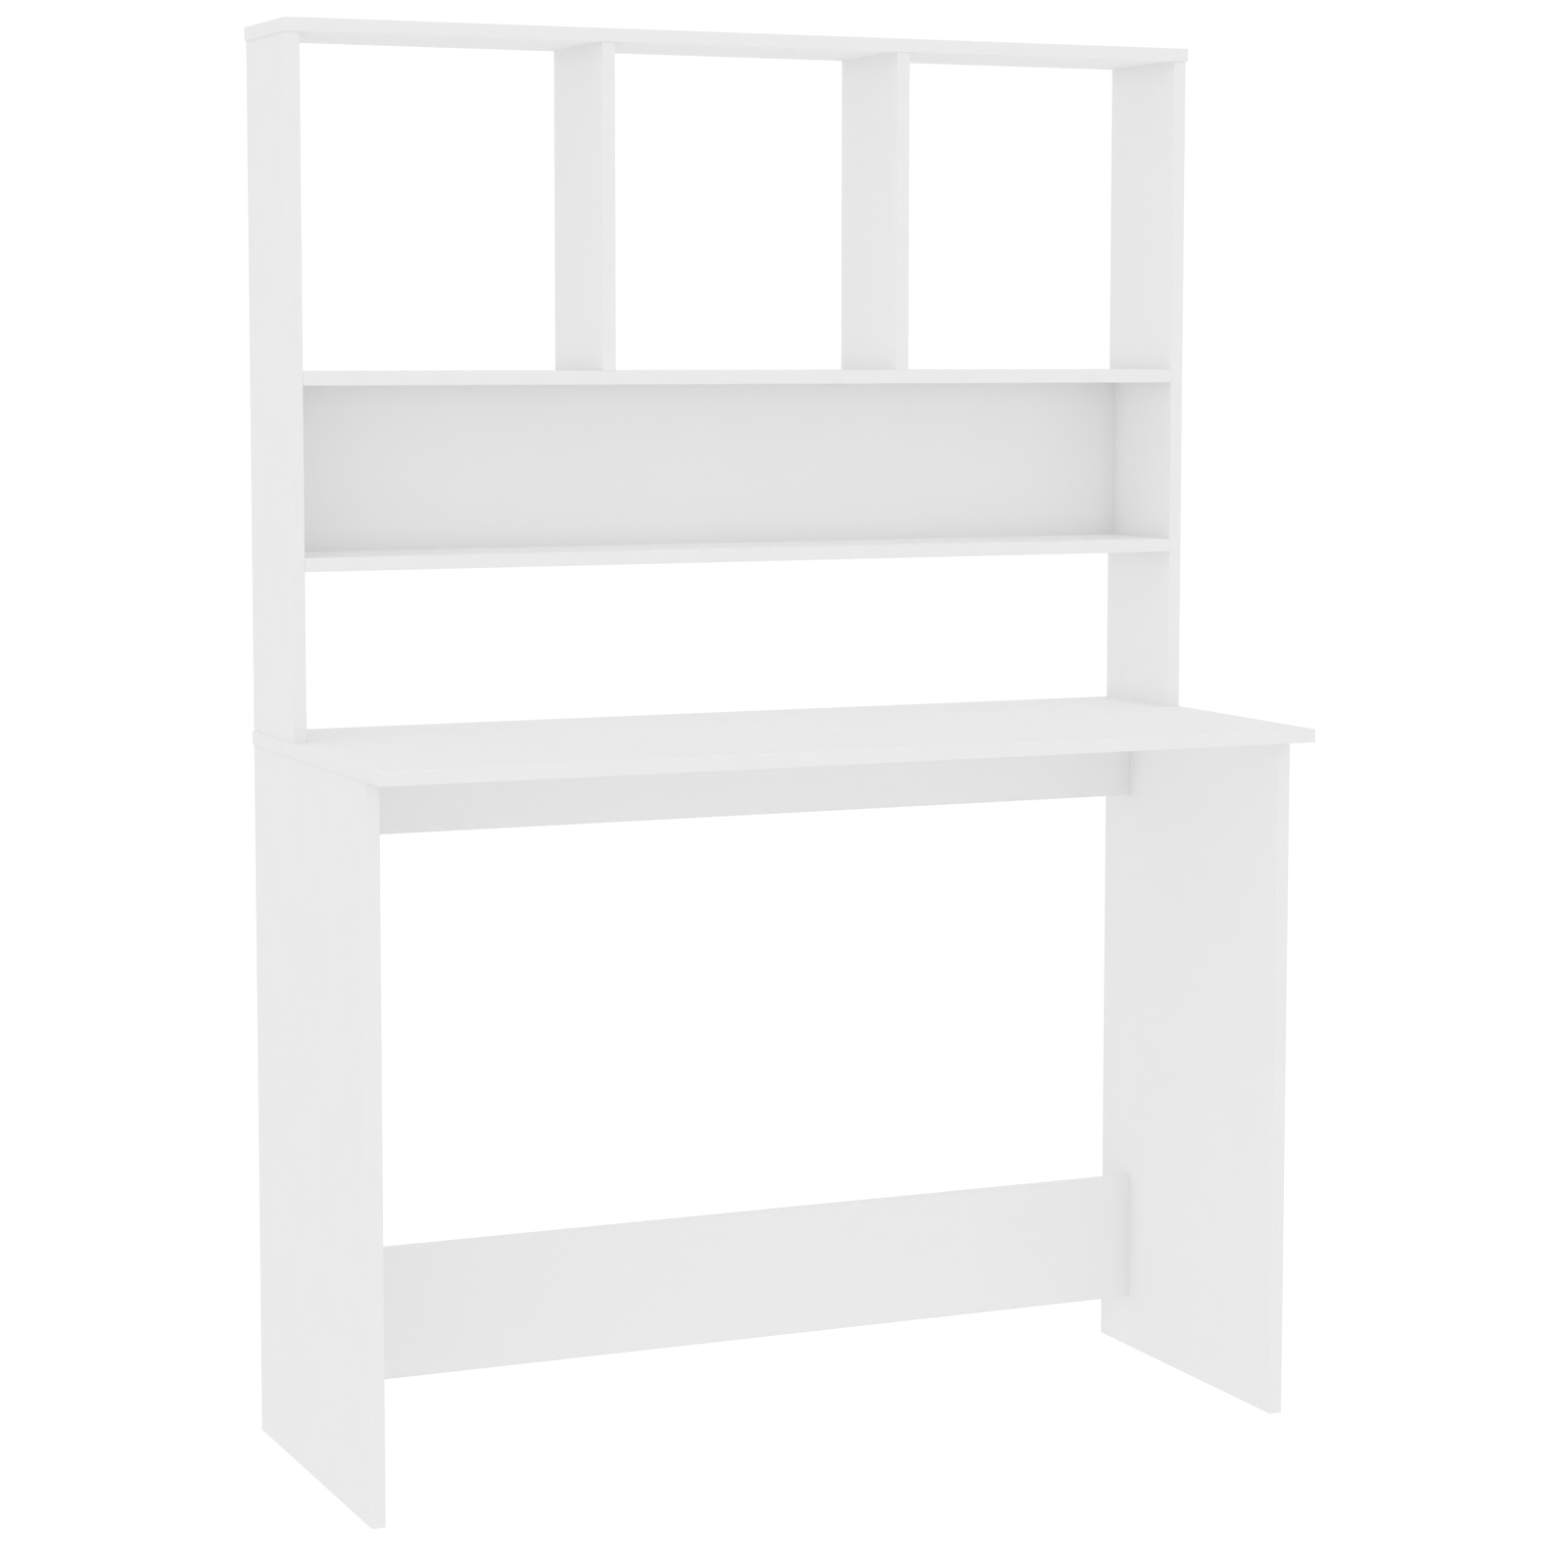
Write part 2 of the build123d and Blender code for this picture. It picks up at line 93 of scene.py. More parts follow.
class Finish:
    """A material's node tree, with short calls for what the finishes share."""

    def __init__(self, name, **sockets):
        self.material = bpy.data.materials.new(name)
        self.material.use_nodes = True
        self.tree = self.material.node_tree
        self.tree.nodes.clear()
        output = self.tree.nodes.new("ShaderNodeOutputMaterial")
        self.shader = self.add("ShaderNodeBsdfPrincipled", **sockets)
        self.tree.links.new(self.shader.outputs["BSDF"], output.inputs["Surface"])
        self.place = self.add("ShaderNodeTexCoord").outputs["Object"]
        self.relief = None

    def add(self, kind, settings=(), **sockets):
        """Adds a node. settings are its own properties. Each socket takes a number, colour or output."""
        node = self.tree.nodes.new(kind)
        for name, value in dict(settings).items():
            setattr(node, name, value)
        for name, value in sockets.items():
            self.feed(node, name.replace("_", " "), value)
        return node

    def feed(self, node, socket, value):
        """Puts a constant on a socket, or links an output to it."""
        if isinstance(value, bpy.types.NodeSocket):
            self.tree.links.new(value, node.inputs[socket])
        else:
            node.inputs[socket].default_value = value

    def math(self, operation, *values):
        """One Math node over numbers and outputs."""
        node = self.add("ShaderNodeMath", {"operation": operation})
        for socket, value in enumerate(values):
            self.feed(node, socket, value)
        return node.outputs[0]

    def scaled(self, size, stretch):
        """The place in units of size, with a longer unit along the stretched axes."""
        scale = [1 / (size * s) for s in stretch]
        return self.add("ShaderNodeMapping", Vector=self.place, Scale=scale).outputs[0]

    def noise(self, size, detail=2.0, stretch=(1, 1, 1), distortion=0.0):
        """Noise with features about size across, in metres."""
        return self.add(
            "ShaderNodeTexNoise",
            Vector=self.scaled(size, stretch),
            Scale=1.0,
            Detail=detail,
            Distortion=distortion,
        ).outputs["Fac"]

    def cells(self, size, stretch):
        """A random value from 0 to 1 for each cell about size across, in metres."""
        cells = self.add("ShaderNodeTexVoronoi", Vector=self.scaled(size, stretch), Scale=1.0)
        return self.add("ShaderNodeSeparateColor", Color=cells.outputs["Color"]).outputs[0]

    def spread(self, value, low, high, start=NOISE_LOW, end=NOISE_HIGH):
        """Stretches start..end of a value over low..high, and keeps it inside them."""
        node = self.add("ShaderNodeMapRange", Value=value)
        self.feed(node, "From Min", start)
        self.feed(node, "From Max", end)
        self.feed(node, "To Min", low)
        self.feed(node, "To Max", high)
        return node.outputs["Result"]

    def mix_node(self, kind, *values):
        """One Mix node over a factor and two numbers or colours."""
        node = self.add("ShaderNodeMix", {"data_type": kind})
        for socket, value in zip(MIX_INPUTS[kind], values):
            self.feed(node, socket, value)
        return node.outputs[MIX_OUTPUT[kind]]

    def mix(self, factor, first, second):
        """One colour into another."""
        return self.mix_node("RGBA", factor, first, second)

    def blend(self, factor, first, second):
        """One number into another."""
        return self.mix_node("FLOAT", factor, first, second)

    def patches(self, pattern, start, end):
        """0 where a pattern is below start, and 1 where it is above end."""
        return self.spread(pattern, 0, 1, start, end)

    def clouds(self, pattern, tones):
        """A colour that drifts between two tones as a pattern does."""
        return self.mix(self.spread(pattern, 0, 1), *tones)

    def corner_shade(self, colour):
        """Paints shade into a colour: darkens it a little where another surface stands close, as in every
        inner corner.
        """
        near = self.add(
            "ShaderNodeAmbientOcclusion",
            {"samples": CORNER_SAMPLES},
            Color=colour,
            Distance=CORNER_REACH,
        )
        return self.mix(CORNER_SHADE, colour, near.outputs["Color"])

    def axis_value(self, axis):
        """The place along one axis, in metres."""
        return self.add("ShaderNodeSeparateXYZ", Vector=self.place).outputs[axis]

    def bump(self, height, depth):
        """Adds relief whose full height is depth, in metres."""
        node = self.add("ShaderNodeBump", Height=height, Distance=depth)
        if self.relief:
            self.feed(node, "Normal", self.relief)
        self.relief = node.outputs[0]

    def colour(self, colour, roughness):
        """Links the colour, roughness and relief to the shader and returns the material."""
        self.feed(self.shader, "Base Color", colour)
        self.feed(self.shader, "Roughness", roughness)
        if self.relief:
            self.feed(self.shader, "Normal", self.relief)
        return self.material


# ---- Melamine-faced chipboard -------------------------------------------------------------------

PAPER_THICKNESS = 0.2 * MM
PAPER_TONES = (grey(0.848), grey(0.872))
PAPER_ROUGHNESS = (0.38, 0.54)
PAPER_SPECULAR = 0.30
CLOUD_SIZE, FIBRE_SIZE, FIBRE_SHARE = 90 * MM, 0.8 * MM, 0.75
SMUDGE_SIZE = 70 * MM
PEARL_SIZE, PEARL_DEPTH = 0.9 * MM, 0.03 * MM
RIPPLE_SIZE, RIPPLE_DEPTH = 9 * MM, 0.01 * MM
GLUE_LINE_WIDTH = 0.08 * MM
GLUE_LINE_TONE = grey(0.68, 0.04)

COARSE_CHIP, FINE_CHIP = 3.2 * MM, 0.9 * MM
CHIP_FLATNESS = 0.25  # a chip's height over its width
CHIP_DEPTH = 0.15 * MM
COARSE_SHARE = 0.6  # how far the coarse middle layer reaches towards each face
CHIP_DARK, CHIP_LIGHT = (0.30, 0.19, 0.10, 1), (0.66, 0.50, 0.32, 1)
RESIN = (0.22, 0.13, 0.07, 1)
RESIN_SIZE, RESIN_RANGE = 1.4 * MM, (0.58, 0.66)
BARE_ROUGHNESS = 0.9


def edged_sides(name):
    """The sides of a board that carry edging, as (axis, sign) pairs."""
    band = f"{name}_edging"
    if band not in NODES:
        return []
    (low, high), (band_low, band_high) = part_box(name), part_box(band)
    sides = [(axis, -1) for axis in (X, Y, Z) if low[axis] - band_low[axis] > TOUCH]
    return sides + [(axis, 1) for axis in (X, Y, Z) if band_high[axis] - high[axis] > TOUCH]


def chipboard(finish, axis, from_middle, half):
    """Bare chipboard's colour and relief: coarse flat chips in the middle layer and fine ones outside."""
    flat = [CHIP_FLATNESS if i == axis else 1.0 for i in (X, Y, Z)]
    coarse, fine = finish.cells(COARSE_CHIP, flat), finish.cells(FINE_CHIP, flat)
    outer_layer = finish.math("GREATER_THAN", from_middle, half * COARSE_SHARE)
    chip = finish.blend(outer_layer, coarse, fine)
    wood = finish.mix(chip, CHIP_DARK, CHIP_LIGHT)
    gaps = finish.patches(finish.noise(RESIN_SIZE, detail=3, stretch=flat), *RESIN_RANGE)
    return finish.mix(gaps, wood, RESIN), chip


def glue_line(finish, paper, axis, limit, sign):
    """Paints the hairline of glue along one edge of the paper, past limit."""
    compare = "GREATER_THAN" if sign > 0 else "LESS_THAN"
    seam = finish.math(compare, finish.axis_value(axis), limit)
    return finish.mix(seam, paper, GLUE_LINE_TONE)


def board_finish(name, axis):
    """White melamine paper on the two broad faces, and bare chipboard where a cut goes through it."""
    low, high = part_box(name)
    finish = Finish(f"{name}_melamine", Specular_IOR_Level=PAPER_SPECULAR)
    middle, half = (low[axis] + high[axis]) / 2, (high[axis] - low[axis]) / 2
    from_middle = finish.math("ABSOLUTE", finish.math("SUBTRACT", finish.axis_value(axis), middle))
    bare = finish.math("LESS_THAN", from_middle, half - PAPER_THICKNESS)

    cloud, fibre = finish.noise(CLOUD_SIZE, detail=3), finish.noise(FIBRE_SIZE, detail=3)
    paper = finish.clouds(finish.blend(FIBRE_SHARE, cloud, fibre), PAPER_TONES)
    # Painted shade: the paper's colour darkens where another surface stands close, in inner corners.
    paper = finish.corner_shade(paper)
    for side_axis, sign in edged_sides(name):
        edge = (high if sign > 0 else low)[side_axis]
        paper = glue_line(finish, paper, side_axis, edge - sign * GLUE_LINE_WIDTH, sign)
    wood, chip = chipboard(finish, axis, from_middle, half)

    smudge = finish.spread(finish.noise(SMUDGE_SIZE, detail=4, distortion=0.6), *PAPER_ROUGHNESS)
    finish.bump(finish.noise(PEARL_SIZE, detail=2), PEARL_DEPTH)
    finish.bump(finish.noise(RIPPLE_SIZE, detail=1), RIPPLE_DEPTH)
    finish.bump(finish.math("MULTIPLY", bare, chip), CHIP_DEPTH)
    return finish.colour(finish.mix(bare, paper, wood), finish.blend(bare, smudge, BARE_ROUGHNESS))


# ---- Plastic edging -----------------------------------------------------------------------------

EDGING_TONES = (grey(0.848), grey(0.862))
EDGING_ROUGHNESS = (0.34, 0.46)
EDGING_SPECULAR = 0.4
EDGING_CLOUD_SIZE = 35 * MM
EDGING_POLISH = 0.08  # how much smoother its rounded corners are
EDGING_RELIEF = 0.006 * MM
GRAIN_SIZE = 0.7 * MM
MARK_WIDTH = 0.35 * MM
MARK_STRETCH = 60.0  # a buffing mark's length over its width
EDGING_ROUNDING = 0.6 * MM
EDGING_STEPS = 6


def edging_finish(run):
    """White ABS with faint buffing marks along the strip."""
    finish = Finish(f"abs_edging_{'xyz'[run]}", Specular_IOR_Level=EDGING_SPECULAR)
    along = [MARK_STRETCH if i == run else 1.0 for i in (X, Y, Z)]
    marks = finish.noise(MARK_WIDTH, detail=3, stretch=along)
    tone = finish.clouds(finish.noise(EDGING_CLOUD_SIZE), EDGING_TONES)
    wear = finish.add("ShaderNodeAttribute", {"attribute_name": "wear"}).outputs["Fac"]
    polish = finish.math("MULTIPLY", wear, EDGING_POLISH)
    roughness = finish.math("SUBTRACT", finish.spread(marks, *EDGING_ROUGHNESS), polish)
    finish.bump(marks, EDGING_RELIEF)
    finish.bump(finish.noise(GRAIN_SIZE), EDGING_RELIEF)
    # Painted shade: the edging's colour darkens where another surface stands close, in inner corners.
    return finish.colour(finish.corner_shade(tone), roughness)


def box_round(points):
    """The lowest and highest corner of some points."""
    return tuple(Vector(pick(point[i] for point in points) for i in (X, Y, Z)) for pick in (min, max))


def solids_of(node):
    """The lowest and highest corner of each separate solid in a CAD node, in a steady order."""
    mesh = bmesh.new()
    mesh.from_mesh(NODES[node].data)
    bmesh.ops.remove_doubles(mesh, verts=mesh.verts, dist=WELD)
    seen, boxes = set(), []
    for start in mesh.verts:
        if start in seen:
            continue
        seen.add(start)
        solid, waiting = [], [start]
        while waiting:
            vert = waiting.pop()
            solid.append(vert.co.copy())
            for edge in vert.link_edges:
                other = edge.other_vert(vert)
                if other not in seen:
                    seen.add(other)
                    waiting.append(other)
        boxes.append(box_round(solid))
    mesh.free()
    return sorted(boxes, key=lambda box: [round(value, ORDER_DIGITS) for value in (*box[0], *box[1])])


def quarter_round(radius):
    """Points round a corner as (along one face, along the other, wear), with most wear in the middle."""
    for step in range(EDGING_STEPS + 1):
        angle = step / EDGING_STEPS * math.pi / 2
        wear = 0.0 if step in (0, EDGING_STEPS) else math.sin(2 * angle)
        yield radius * (1 - math.cos(angle)), radius * (1 - math.sin(angle)), wear


def strip_section(width, thickness):
    """A strip's outline as (across, outward, wear): flat where it is glued, rounded outside."""
    near = [(along, thickness - drop, wear) for along, drop, wear in quarter_round(EDGING_ROUNDING)]
    far = [(width - across, outward, wear) for across, outward, wear in reversed(near)]
    return [(0, 0, 0.0), *near, *far, (width, 0, 0.0)]


def strip_stations(start, end, open_start, open_end):
    """Places along a strip as (place, how far its outer face is drawn in, wear). Open ends are rounded."""
    rounded = list(quarter_round(EDGING_ROUNDING))
    first = [(start + along, drop, wear) for along, drop, wear in rounded]
    last = [(end - along, drop, wear) for along, drop, wear in reversed(rounded)]
    return (first if open_start else [(start, 0, 0.0)]) + (last if open_end else [(end, 0, 0.0)])


def strip_rings(mesh, wear_layer, core, band, box):
    """The rings of points along a strip of edging, and the axis that it runs along.

    core is its board's box, band the box of all the board's edging, and box the strip's own.
    """
    low, high = box
    size = high - low
    run = max((X, Y, Z), key=lambda axis: size[axis])
    outward = min((X, Y, Z), key=lambda axis: size[axis])
    across = X + Y + Z - run - outward
    sign = 1 if (low + high)[outward] > (core[0] + core[1])[outward] else -1
    glued = low[outward] if sign > 0 else high[outward]
    at_end = [abs(band[i][run] - box[i][run]) < TOUCH for i in (0, 1)]
    past_board = [abs(band[i][run] - core[i][run]) > TOUCH for i in (0, 1)]
    is_open = [reaches and proud for reaches, proud in zip(at_end, past_board)]
    section = strip_section(size[across], size[outward])
    rings = []
    for place, inset, end_wear in strip_stations(low[run], high[run], *is_open):
        ring = []
        for side, out, wear in section:
            point = Vector()
            point[run] = place
            point[across] = low[across] + side
            point[outward] = glued + sign * out * (1 - inset / size[outward])
            vert = mesh.verts.new(point)
            vert[wear_layer] = max(wear, end_wear)
            ring.append(vert)
        rings.append(ring)
    return rings, run


def add_strip(mesh, wear_layer, core, band, box, slots):
    """One closed strip of edging between a board's core and its band's outer limit."""
    rings, run = strip_rings(mesh, wear_layer, core, band, box)
    ends = [mesh.faces.new(rings[0]), mesh.faces.new(rings[-1])]
    sides = []
    for first, second in zip(rings, rings[1:]):
        for i in range(len(first)):
            j = (i + 1) % len(first)
            sides.append(mesh.faces.new((first[i], first[j], second[j], second[i])))
    for face in sides:
        face.smooth = any(vert[wear_layer] > 0 for vert in face.verts)
    for face in ends + sides:
        face.material_index = slots.index(run)
    bmesh.ops.recalc_face_normals(mesh, faces=ends + sides)


def finished_piece(name, mesh, materials, slot, *nodes):
    """Turns a bmesh into a piece that rides on the desk and stands for the given CAD nodes.

    An edge between a flat and a smooth face is made sharp, so that the flat one doesn't bend the
    smooth one's shading.
    """
    for edge in mesh.edges:
        edge.smooth = all(face.smooth for face in edge.link_faces)
    data = bpy.data.meshes.new(name)
    mesh.to_mesh(data)
    mesh.free()
    for material in materials:
        data.materials.append(material)
    piece = bpy.data.objects.new(name, data)
    bpy.context.collection.objects.link(piece)
    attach(piece, "root")
    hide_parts(*nodes)


def add_edge_bands(name, finishes):
    """All the edging of one board, in the places of its CAD strips."""
    node = f"{name}_edging"
    boxes = solids_of(node)
    runs = sorted({max((X, Y, Z), key=lambda axis: (high - low)[axis]) for low, high in boxes})
    mesh = bmesh.new()
    wear_layer = mesh.verts.layers.float.new("wear")
    for box in boxes:
        add_strip(mesh, wear_layer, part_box(name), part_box(node), box, runs)
    finished_piece(f"{name}_edge_bands", mesh, [finishes[run] for run in runs], "plastic_edging", node)


# ---- Cover films --------------------------------------------------------------------------------

FILM_TONES = (grey(0.852, 0.003), grey(0.868, 0.003))
FILM_ROUGHNESS = (0.36, 0.46)
FILM_SPECULAR = 0.45
FILM_CLOUD_SIZE = 6 * MM
FILM_GRAIN_SIZE, FILM_GRAIN_DEPTH = 0.25 * MM, 0.004 * MM
DIRT_TONE = grey(0.66, 0.03)
DIRT_SIZE, DIRT_RANGE = 2 * MM, (0.1, 0.5)

# Radius and height in mm: the film dips over the sunk cam and curls down at its rim.
FILM_PROFILE = (
    (1.2, 0.175),
    (2.6, 0.175),
    (4.0, 0.178),
    (5.4, 0.180),
    (6.8, 0.186),
    (7.3, 0.205),
    (7.8, 0.240),
    (8.4, 0.250),
    (8.75, 0.235),
    (8.93, 0.170),
    (9.0, 0.080),
    (9.0, 0.0),
)
FILM_SEGMENTS = 48
FILM_WAVE = 0.05  # how much its height varies round a ring
FILM_OFF_CENTRE = 0.25 * MM
RIM_RADIUS = 8.9  # mm, where the soiled rim starts

# The cam's cross recess, which shows through the film.
CROSS_ARMS = 4
CROSS_RADIUS = 4.4  # mm
CROSS_DIP = 0.05  # mm
CROSS_SHARPNESS = 3


def film_finish():
    """Thin white vinyl with a fine matt grain and a faintly soiled rim."""
    finish = Finish("vinyl_cover_film", Specular_IOR_Level=FILM_SPECULAR)
    grain = finish.noise(FILM_GRAIN_SIZE)
    rim = finish.add("ShaderNodeAttribute", {"attribute_name": "rim"}).outputs["Fac"]
    film = finish.clouds(finish.noise(FILM_CLOUD_SIZE), FILM_TONES)
    dirt = finish.spread(finish.noise(DIRT_SIZE, detail=3), *DIRT_RANGE)
    soiled = finish.math("MULTIPLY", rim, dirt)
    finish.bump(grain, FILM_GRAIN_DEPTH)
    return finish.colour(finish.mix(soiled, film, DIRT_TONE), finish.spread(grain, *FILM_ROUGHNESS))


def film_height(radius, height, angle, turn):
    """The film's height in mm at a point of one ring, with its slight wave and the cross's dip."""
    in_cross = 0.0
    if radius < CROSS_RADIUS:
        in_cross = max(0.0, math.cos(CROSS_ARMS * angle)) ** CROSS_SHARPNESS
    return height * (1 + FILM_WAVE * math.sin(2 * angle + turn)) - CROSS_DIP * in_cross


def add_film(mesh, rim_layer, box, outward, turn):
    """One film, laid on its board's face round the middle of the CAD cover."""
    low, high = box
    board_x = low.x if outward > 0 else high.x
    centre = (low + high) / 2
    shift_angle = 3 * turn
    shift = Vector((0, math.cos(shift_angle), math.sin(shift_angle))) * FILM_OFF_CENTRE
    middle = mesh.verts.new((board_x + outward * FILM_PROFILE[0][1] * MM, *(centre + shift).yz))
    rings = []
    for radius, height in FILM_PROFILE:
        ring = []
        for i in range(FILM_SEGMENTS):
            angle = i / FILM_SEGMENTS * math.tau
            x = board_x + outward * film_height(radius, height, angle, turn) * MM
            y = centre.y + shift.y + radius * MM * math.cos(angle + turn)
            z = centre.z + shift.z + radius * MM * math.sin(angle + turn)
            vert = mesh.verts.new((x, y, z))
            vert[rim_layer] = 1.0 if radius > RIM_RADIUS else 0.0
            ring.append(vert)
        rings.append(ring)
    underside = mesh.faces.new(rings[-1])
    top = []
    for i in range(FILM_SEGMENTS):
        j = (i + 1) % FILM_SEGMENTS
        top.append(mesh.faces.new((middle, rings[0][i], rings[0][j])))
        for inner, outer in zip(rings, rings[1:]):
            top.append(mesh.faces.new((inner[i], outer[i], outer[j], inner[j])))
    for face in top:
        face.smooth = True
    bmesh.ops.recalc_face_normals(mesh, faces=[underside, *top])


def add_cover_films(place, finish, turns):
    """The films over the cams of the base or of the hutch, each turned at random."""
    node = f"cover_stickers_{place}"
    right_faces = [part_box(name)[1].x for name in BOARDS]
    mesh = bmesh.new()
    rim_layer = mesh.verts.layers.float.new("rim")
    for box in solids_of(node):
        outward = 1 if any(abs(face - box[0].x) < TOUCH for face in right_faces) else -1
        add_film(mesh, rim_layer, box, outward, turns.uniform(0, math.tau))
    finished_piece(f"cover_films_{place}", mesh, [finish], "cover_film", node)


# ---- Fittings -----------------------------------------------------------------------------------

ZINC_TONES = (grey(0.50), grey(0.66, 0.01))
ZINC_ROUGHNESS = (0.36, 0.60)
ZINC_FLOW_SIZE, ZINC_FLOW_DEPTH = 4 * MM, 0.02 * MM
ZINC_GRAIN_SIZE, ZINC_GRAIN_DEPTH = 0.22 * MM, 0.012 * MM

STEEL_TONES = (grey(0.66, -0.01), grey(0.76, 0.02))
STEEL_ROUGHNESS = (0.22, 0.38)
STEEL_CLOUD_SIZE = 3 * MM
STEEL_MARK_SIZE, STEEL_MARK_DEPTH = 0.15 * MM, 0.004 * MM

BEECH_TONES = ((0.58, 0.37, 0.22, 1), (0.74, 0.54, 0.36, 1))
BEECH_ROUGHNESS = (0.62, 0.78)
BEECH_GROWTH_SIZE = 2.5 * MM
BEECH_GRAIN_SIZE, BEECH_GRAIN_DEPTH = 0.3 * MM, 0.03 * MM
FLECK_TONE = (0.36, 0.20, 0.11, 1)
FLECK_SIZE, FLECK_RANGE = 0.5 * MM, (0.60, 0.68)


def zinc_finish():
    """Die-cast zinc: dull grey with a fine casting grain and darker flow marks."""
    finish = Finish("die_cast_zinc", Metallic=1.0)
    flow = finish.noise(ZINC_FLOW_SIZE, detail=4, distortion=1.2)
    grain = finish.noise(ZINC_GRAIN_SIZE, detail=3)
    tone = finish.clouds(flow, ZINC_TONES)
    finish.bump(grain, ZINC_GRAIN_DEPTH)
    finish.bump(flow, ZINC_FLOW_DEPTH)
    return finish.colour(tone, finish.spread(grain, *ZINC_ROUGHNESS))


def steel_finish():
    """Bright zinc-plated steel with fine turning marks."""
    finish = Finish("plated_steel_turned", Metallic=1.0)
    marks = finish.noise(STEEL_MARK_SIZE, detail=3, distortion=0.3)
    tone = finish.clouds(finish.noise(STEEL_CLOUD_SIZE, detail=3), STEEL_TONES)
    finish.bump(marks, STEEL_MARK_DEPTH)
    return finish.colour(tone, finish.spread(marks, *STEEL_ROUGHNESS))


def beech_finish():
    """Steamed beech: pale pink-brown with short dark flecks."""
    finish = Finish("beech_dowel_wood")
    growth = finish.noise(BEECH_GROWTH_SIZE, detail=3, distortion=0.8)
    flecks = finish.patches(finish.noise(FLECK_SIZE), *FLECK_RANGE)
    wood = finish.clouds(growth, BEECH_TONES)
    finish.bump(finish.noise(BEECH_GRAIN_SIZE, detail=3), BEECH_GRAIN_DEPTH)
    return finish.colour(finish.mix(flecks, wood, FLECK_TONE), finish.spread(growth, *BEECH_ROUGHNESS))


# ---- The desk -----------------------------------------------------------------------------------

FILM_SEED = 7

for name, axis in BOARDS.items():
    NODES[name].material_slots[0].material = board_finish(name, axis)

EDGING_FINISHES = [edging_finish(run) for run in (X, Y, Z)]
for name in BOARDS:
    if edged_sides(name):
        add_edge_bands(name, EDGING_FINISHES)

FILM = film_finish()
FILM_TURNS = random.Random(FILM_SEED)
for place in PLACES:
    add_cover_films(place, FILM, FILM_TURNS)

FITTING_FINISHES = {"cam_locks": zinc_finish(), "cam_bolts": steel_finish(), "dowels": beech_finish()}
for kind, material in FITTING_FINISHES.items():
    for place in PLACES:
        NODES[f"{kind}_{place}"].material_slots[0].material = material
NODES["back_panel_screws"].material_slots[0].material = FITTING_FINISHES["cam_bolts"]

# ---- Studio -------------------------------------------------------------------------------------

# The floor and the surround glow, so that both are white. Their tones are what they return of other light.
STUDIO_RADIUS = 45.0
FLOOR_SEGMENTS = 96
FLOOR_GLOW, FLOOR_TONE = 0.94, 0.08
SURROUND_SEGMENTS, SURROUND_RINGS = 48, 24
SURROUND_GLOW, SURROUND_TONE = 1.02, 0.0

SKY_STRENGTH = 0.840  # light from all round
SKY_LEAN = (-0.01, -0.08, 0.06)  # how much stronger it is towards the right, the rear and the top

# Where each fill light comes from. Its length is its strength on a face that it meets squarely.
FILL_LIGHTS = {
    "front_left_fill": (-0.118, -0.055, 0.118),
    "floor_bounce": (0.02, 0.0, -0.174),
}
FILL_SOFTNESS = math.radians(60)

CAMERA_PLACE = (-1.7422, -3.869, 1.2189)
CAMERA_TILT, CAMERA_HEADING = math.radians(5.218), math.radians(23.454)
CAMERA_LENS = 87.628
CAMERA_SHIFT = (0.0324, -0.055)
CAMERA_REACH = 100.0


def add_stage_object(name, mesh, glow, tone):
    """Part of the studio: the camera sees it, and it neither lights nor shades the desk."""
    data = bpy.data.meshes.new(name)
    mesh.to_mesh(data)
    mesh.free()
    finish = Finish(
        f"{name}_white",
        Base_Color=grey(tone),
        Roughness=1.0,
        Specular_IOR_Level=0.0,
        Emission_Color=grey(1.0),
        Emission_Strength=glow,
    )
    finish.material.cycles.emission_sampling = "NONE"
    data.materials.append(finish.material)
    piece = bpy.data.objects.new(name, data)
    bpy.context.collection.objects.link(piece)
    piece.visible_diffuse = False
    piece.visible_glossy = False
    piece.visible_shadow = False


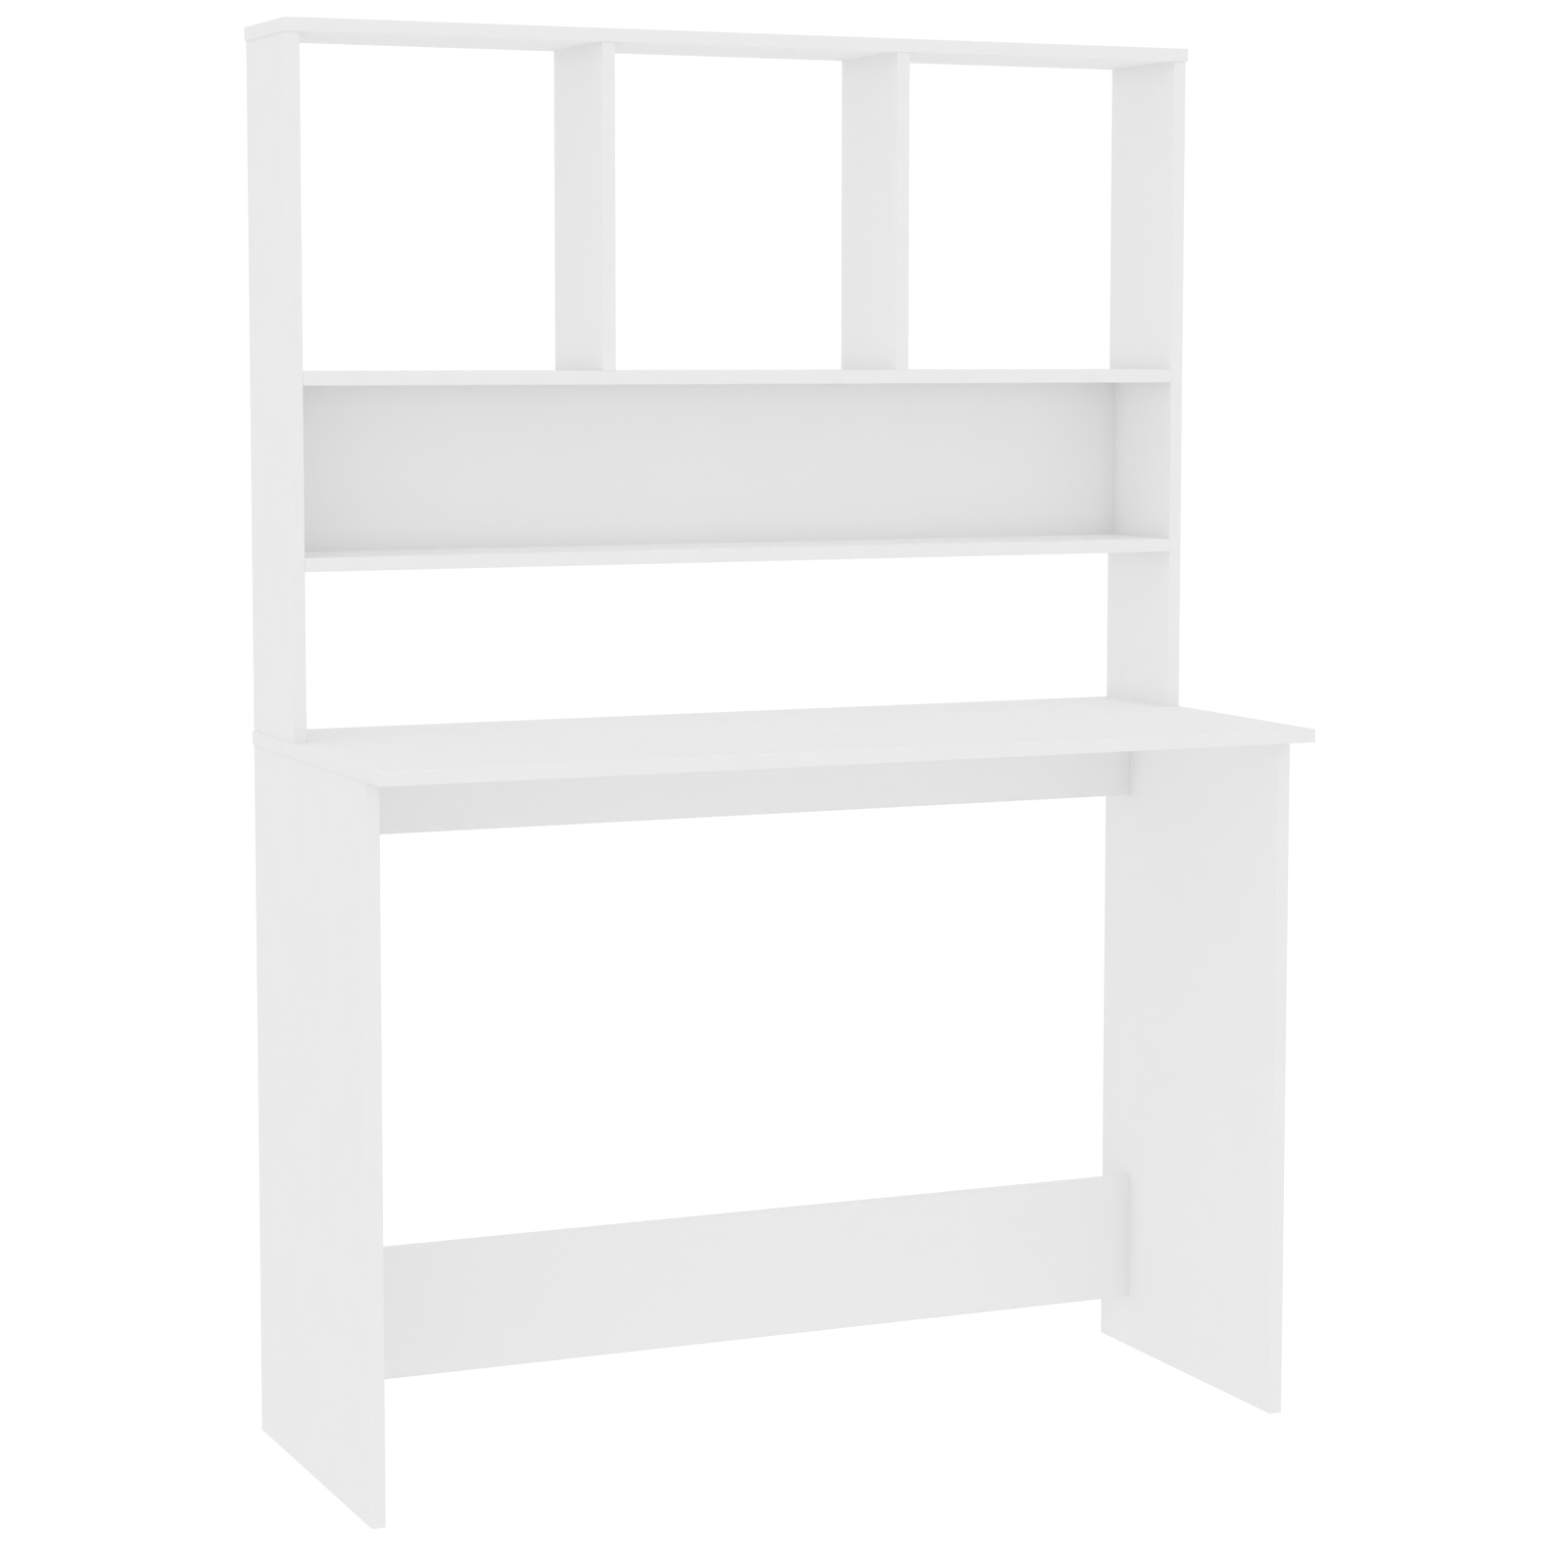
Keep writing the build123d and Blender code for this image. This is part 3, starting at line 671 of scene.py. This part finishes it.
def add_studio():
    """A plain white floor that shows hardly any shadow, and a white surround."""
    floor = bmesh.new()
    bmesh.ops.create_circle(floor, cap_ends=True, segments=FLOOR_SEGMENTS, radius=STUDIO_RADIUS)
    add_stage_object("floor", floor, FLOOR_GLOW, FLOOR_TONE)
    surround = bmesh.new()
    bmesh.ops.create_uvsphere(
        surround,
        u_segments=SURROUND_SEGMENTS,
        v_segments=SURROUND_RINGS,
        radius=STUDIO_RADIUS,
    )
    add_stage_object("surround", surround, SURROUND_GLOW, SURROUND_TONE)


def add_sky():
    """Soft light from all round, a little stronger from the front, the left and above."""
    world = bpy.data.worlds.new("studio_light")
    world.use_nodes = True
    tree = world.node_tree
    direction = tree.nodes.new("ShaderNodeTexCoord").outputs["Generated"]
    lean = tree.nodes.new("ShaderNodeVectorMath")
    lean.operation = "DOT_PRODUCT"
    lean.inputs[1].default_value = SKY_LEAN
    strength = tree.nodes.new("ShaderNodeMath")
    strength.inputs[1].default_value = SKY_STRENGTH
    background = tree.nodes["Background"]
    background.inputs["Color"].default_value = grey(1.0)
    tree.links.new(direction, lean.inputs[0])
    tree.links.new(lean.outputs["Value"], strength.inputs[0])
    tree.links.new(strength.outputs[0], background.inputs["Strength"])
    bpy.context.scene.world = world


def add_fill_lights():
    """Soft lights that cast no shadow and lift the inner corners."""
    for name, source in FILL_LIGHTS.items():
        data = bpy.data.lights.new(name, "SUN")
        data.energy = Vector(source).length * math.pi
        data.angle = FILL_SOFTNESS
        data.use_shadow = False
        light = bpy.data.objects.new(name, data)
        bpy.context.collection.objects.link(light)
        light.visible_glossy = False
        light.rotation_mode = "QUATERNION"
        light.rotation_quaternion = Vector(source).to_track_quat("Z", "Y")


def add_camera():
    """Left of the front and a little above the desktop, looking slightly down."""
    data = bpy.data.cameras.new("camera")
    data.lens = CAMERA_LENS
    data.shift_x, data.shift_y = CAMERA_SHIFT
    data.clip_end = CAMERA_REACH
    camera = bpy.data.objects.new("camera", data)
    bpy.context.collection.objects.link(camera)
    camera.location = CAMERA_PLACE
    camera.rotation_euler = (math.pi / 2 - CAMERA_TILT, 0, -CAMERA_HEADING)
    bpy.context.scene.camera = camera


add_studio()
add_sky()
add_fill_lights()
add_camera()
bpy.context.scene.view_settings.view_transform = "Standard"
